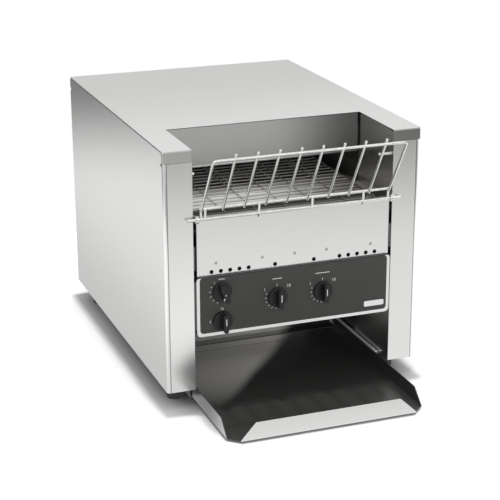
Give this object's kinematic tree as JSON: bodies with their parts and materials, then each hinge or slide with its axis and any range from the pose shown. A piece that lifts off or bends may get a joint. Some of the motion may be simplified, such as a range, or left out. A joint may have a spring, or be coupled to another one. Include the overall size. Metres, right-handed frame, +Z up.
{
  "type": "conveyor toaster",
  "caption": "Counter-top conveyor toaster in stainless steel with a wire feed rack, wire belt, bar-knob control panel and a pull-out discharge tray.",
  "frame": {"origin": "centre of the footprint of the whole object, at the underside of the feet", "axes": "+Z up, front with tray and controls towards -Y, +X to the right seen from the front"},
  "size_m": [0.368, 0.631, 0.3697],
  "materials": {
    "stainless": "brushed",
    "tray_steel": "brushed steel, dark non-stick coating on the inside",
    "bright_wire": "bright",
    "bright_steel": "machined",
    "overlay": "satin black print",
    "badge": "satin",
    "knob": "matt black, white mark",
    "control_case": "matt",
    "bronze": "sintered bronze",
    "element": "oxidised sheath",
    "ceramic": "unglazed",
    "blanket": "mineral fibre",
    "motor": "painted",
    "thermostat": "plain",
    "board": "circuit board",
    "rubber": "matt"
  },
  "bodies": {
    "casing": {"back_panel": "stainless", "base_pan": "stainless", "belt_support": "stainless", "blank_badge": "badge", "bottom_heat_control": "control_case", "box_brackets": "stainless", "case_screws": "bright_wire", "control_box": "stainless", "control_overlay": "overlay", "conveyor_belt": "bright_wire", "cooling_fan": "control_case", "cord_gland": "control_case", "drive_chain": "bright_steel", "element_insulators": "ceramic", "fan_guard": "bright_wire", "feed_plate": "stainless", "front_panel": "stainless", "gearmotor": "motor", "left_chassis_plate": "stainless", "left_side_panel": "stainless", "limit_thermostat": "thermostat", "lower_elements": "element", "lower_reflector": "stainless", "motor_bracket": "bright_steel", "pivot_bushes": "bright_wire", "pivot_ears": "bright_wire", "power_switch": "control_case", "recess_back_wall": "stainless", "right_chassis_plate": "stainless", "right_side_panel": "stainless", "rubber_feet": "rubber", "shaft_bushings": "bronze", "speed_board": "board", "speed_control": "control_case", "terminal_block": "control_case", "toast_slide": "stainless", "top_heat_control": "control_case", "top_insulation": "blanket", "top_panel": "stainless", "tray_rails": "stainless", "upper_elements": "element", "upper_reflector": "stainless"},
    "feed_rack": {"feed_rack": "bright_wire"},
    "speed_dial": {"speed_knob": "knob", "speed_shaft": "bright_steel"},
    "power_dial": {"power_knob": "knob", "power_shaft": "bright_steel"},
    "top_heat_dial": {"top_heat_knob": "knob", "top_heat_shaft": "bright_steel"},
    "bottom_heat_dial": {"bottom_heat_knob": "knob", "bottom_heat_shaft": "bright_steel"},
    "tray": {"discharge_tray": "tray_steel"},
    "idler": {"idler_shaft": "bright_steel", "idler_roller": "bright_steel"},
    "drive": {"drive_shaft": "bright_steel", "drive_wheels": "bright_steel", "drive_sprocket": "bright_steel"},
    "motor_output": {"motor_shaft": "bright_steel", "motor_sprocket": "bright_steel"},
    "fan": {"fan_rotor": "control_case"}
  },
  "joints": [
    {"name": "rack_tilt", "type": "hinge", "parent": "casing", "child": "feed_rack", "pos_m": [0, -0.1905, 0.2695], "axis": [-1, 0, 0], "range_deg": [0, 54]},
    {"name": "speed_turn", "type": "hinge", "parent": "casing", "child": "speed_dial", "pos_m": [-0.1065, -0.1893, 0.165], "axis": [0, 1, 0], "range_deg": [0, 300]},
    {"name": "power_turn", "type": "hinge", "parent": "casing", "child": "power_dial", "pos_m": [-0.106, -0.1893, 0.1235], "axis": [0, 1, 0], "range_deg": [-90, 0]},
    {"name": "top_heat_turn", "type": "hinge", "parent": "casing", "child": "top_heat_dial", "pos_m": [-0.02671, -0.1893, 0.147], "axis": [0, 1, 0], "range_deg": [0, 300]},
    {"name": "bottom_heat_turn", "type": "hinge", "parent": "casing", "child": "bottom_heat_dial", "pos_m": [0.04, -0.1893, 0.147], "axis": [0, 1, 0], "range_deg": [0, 300]},
    {"name": "tray_slide", "type": "slide", "parent": "casing", "child": "tray", "axis": [0, -1, 0], "range_m": [0, 0.17]},
    {"name": "drive_spin", "type": "hinge", "parent": "casing", "child": "drive", "pos_m": [0, 0.2385, 0.23873], "axis": [-1, 0, 0], "continuous": true},
    {"name": "idler_spin", "type": "hinge", "parent": "casing", "child": "idler", "pos_m": [0, -0.1515, 0.23873], "axis": [-1, 0, 0], "continuous": true},
    {"name": "motor_spin", "type": "hinge", "parent": "casing", "child": "motor_output", "pos_m": [0.158, 0.2295, 0.078], "axis": [-1, 0, 0], "continuous": true},
    {"name": "fan_spin", "type": "hinge", "parent": "casing", "child": "fan", "pos_m": [-0.07, 0.2815, 0.078], "axis": [0, 1, 0], "continuous": true}
  ],
  "couplings": [
    {"joint": "idler_spin", "follows": "drive_spin", "ratio": 1},
    {"joint": "motor_spin", "follows": "drive_spin", "ratio": 2}
  ]
}
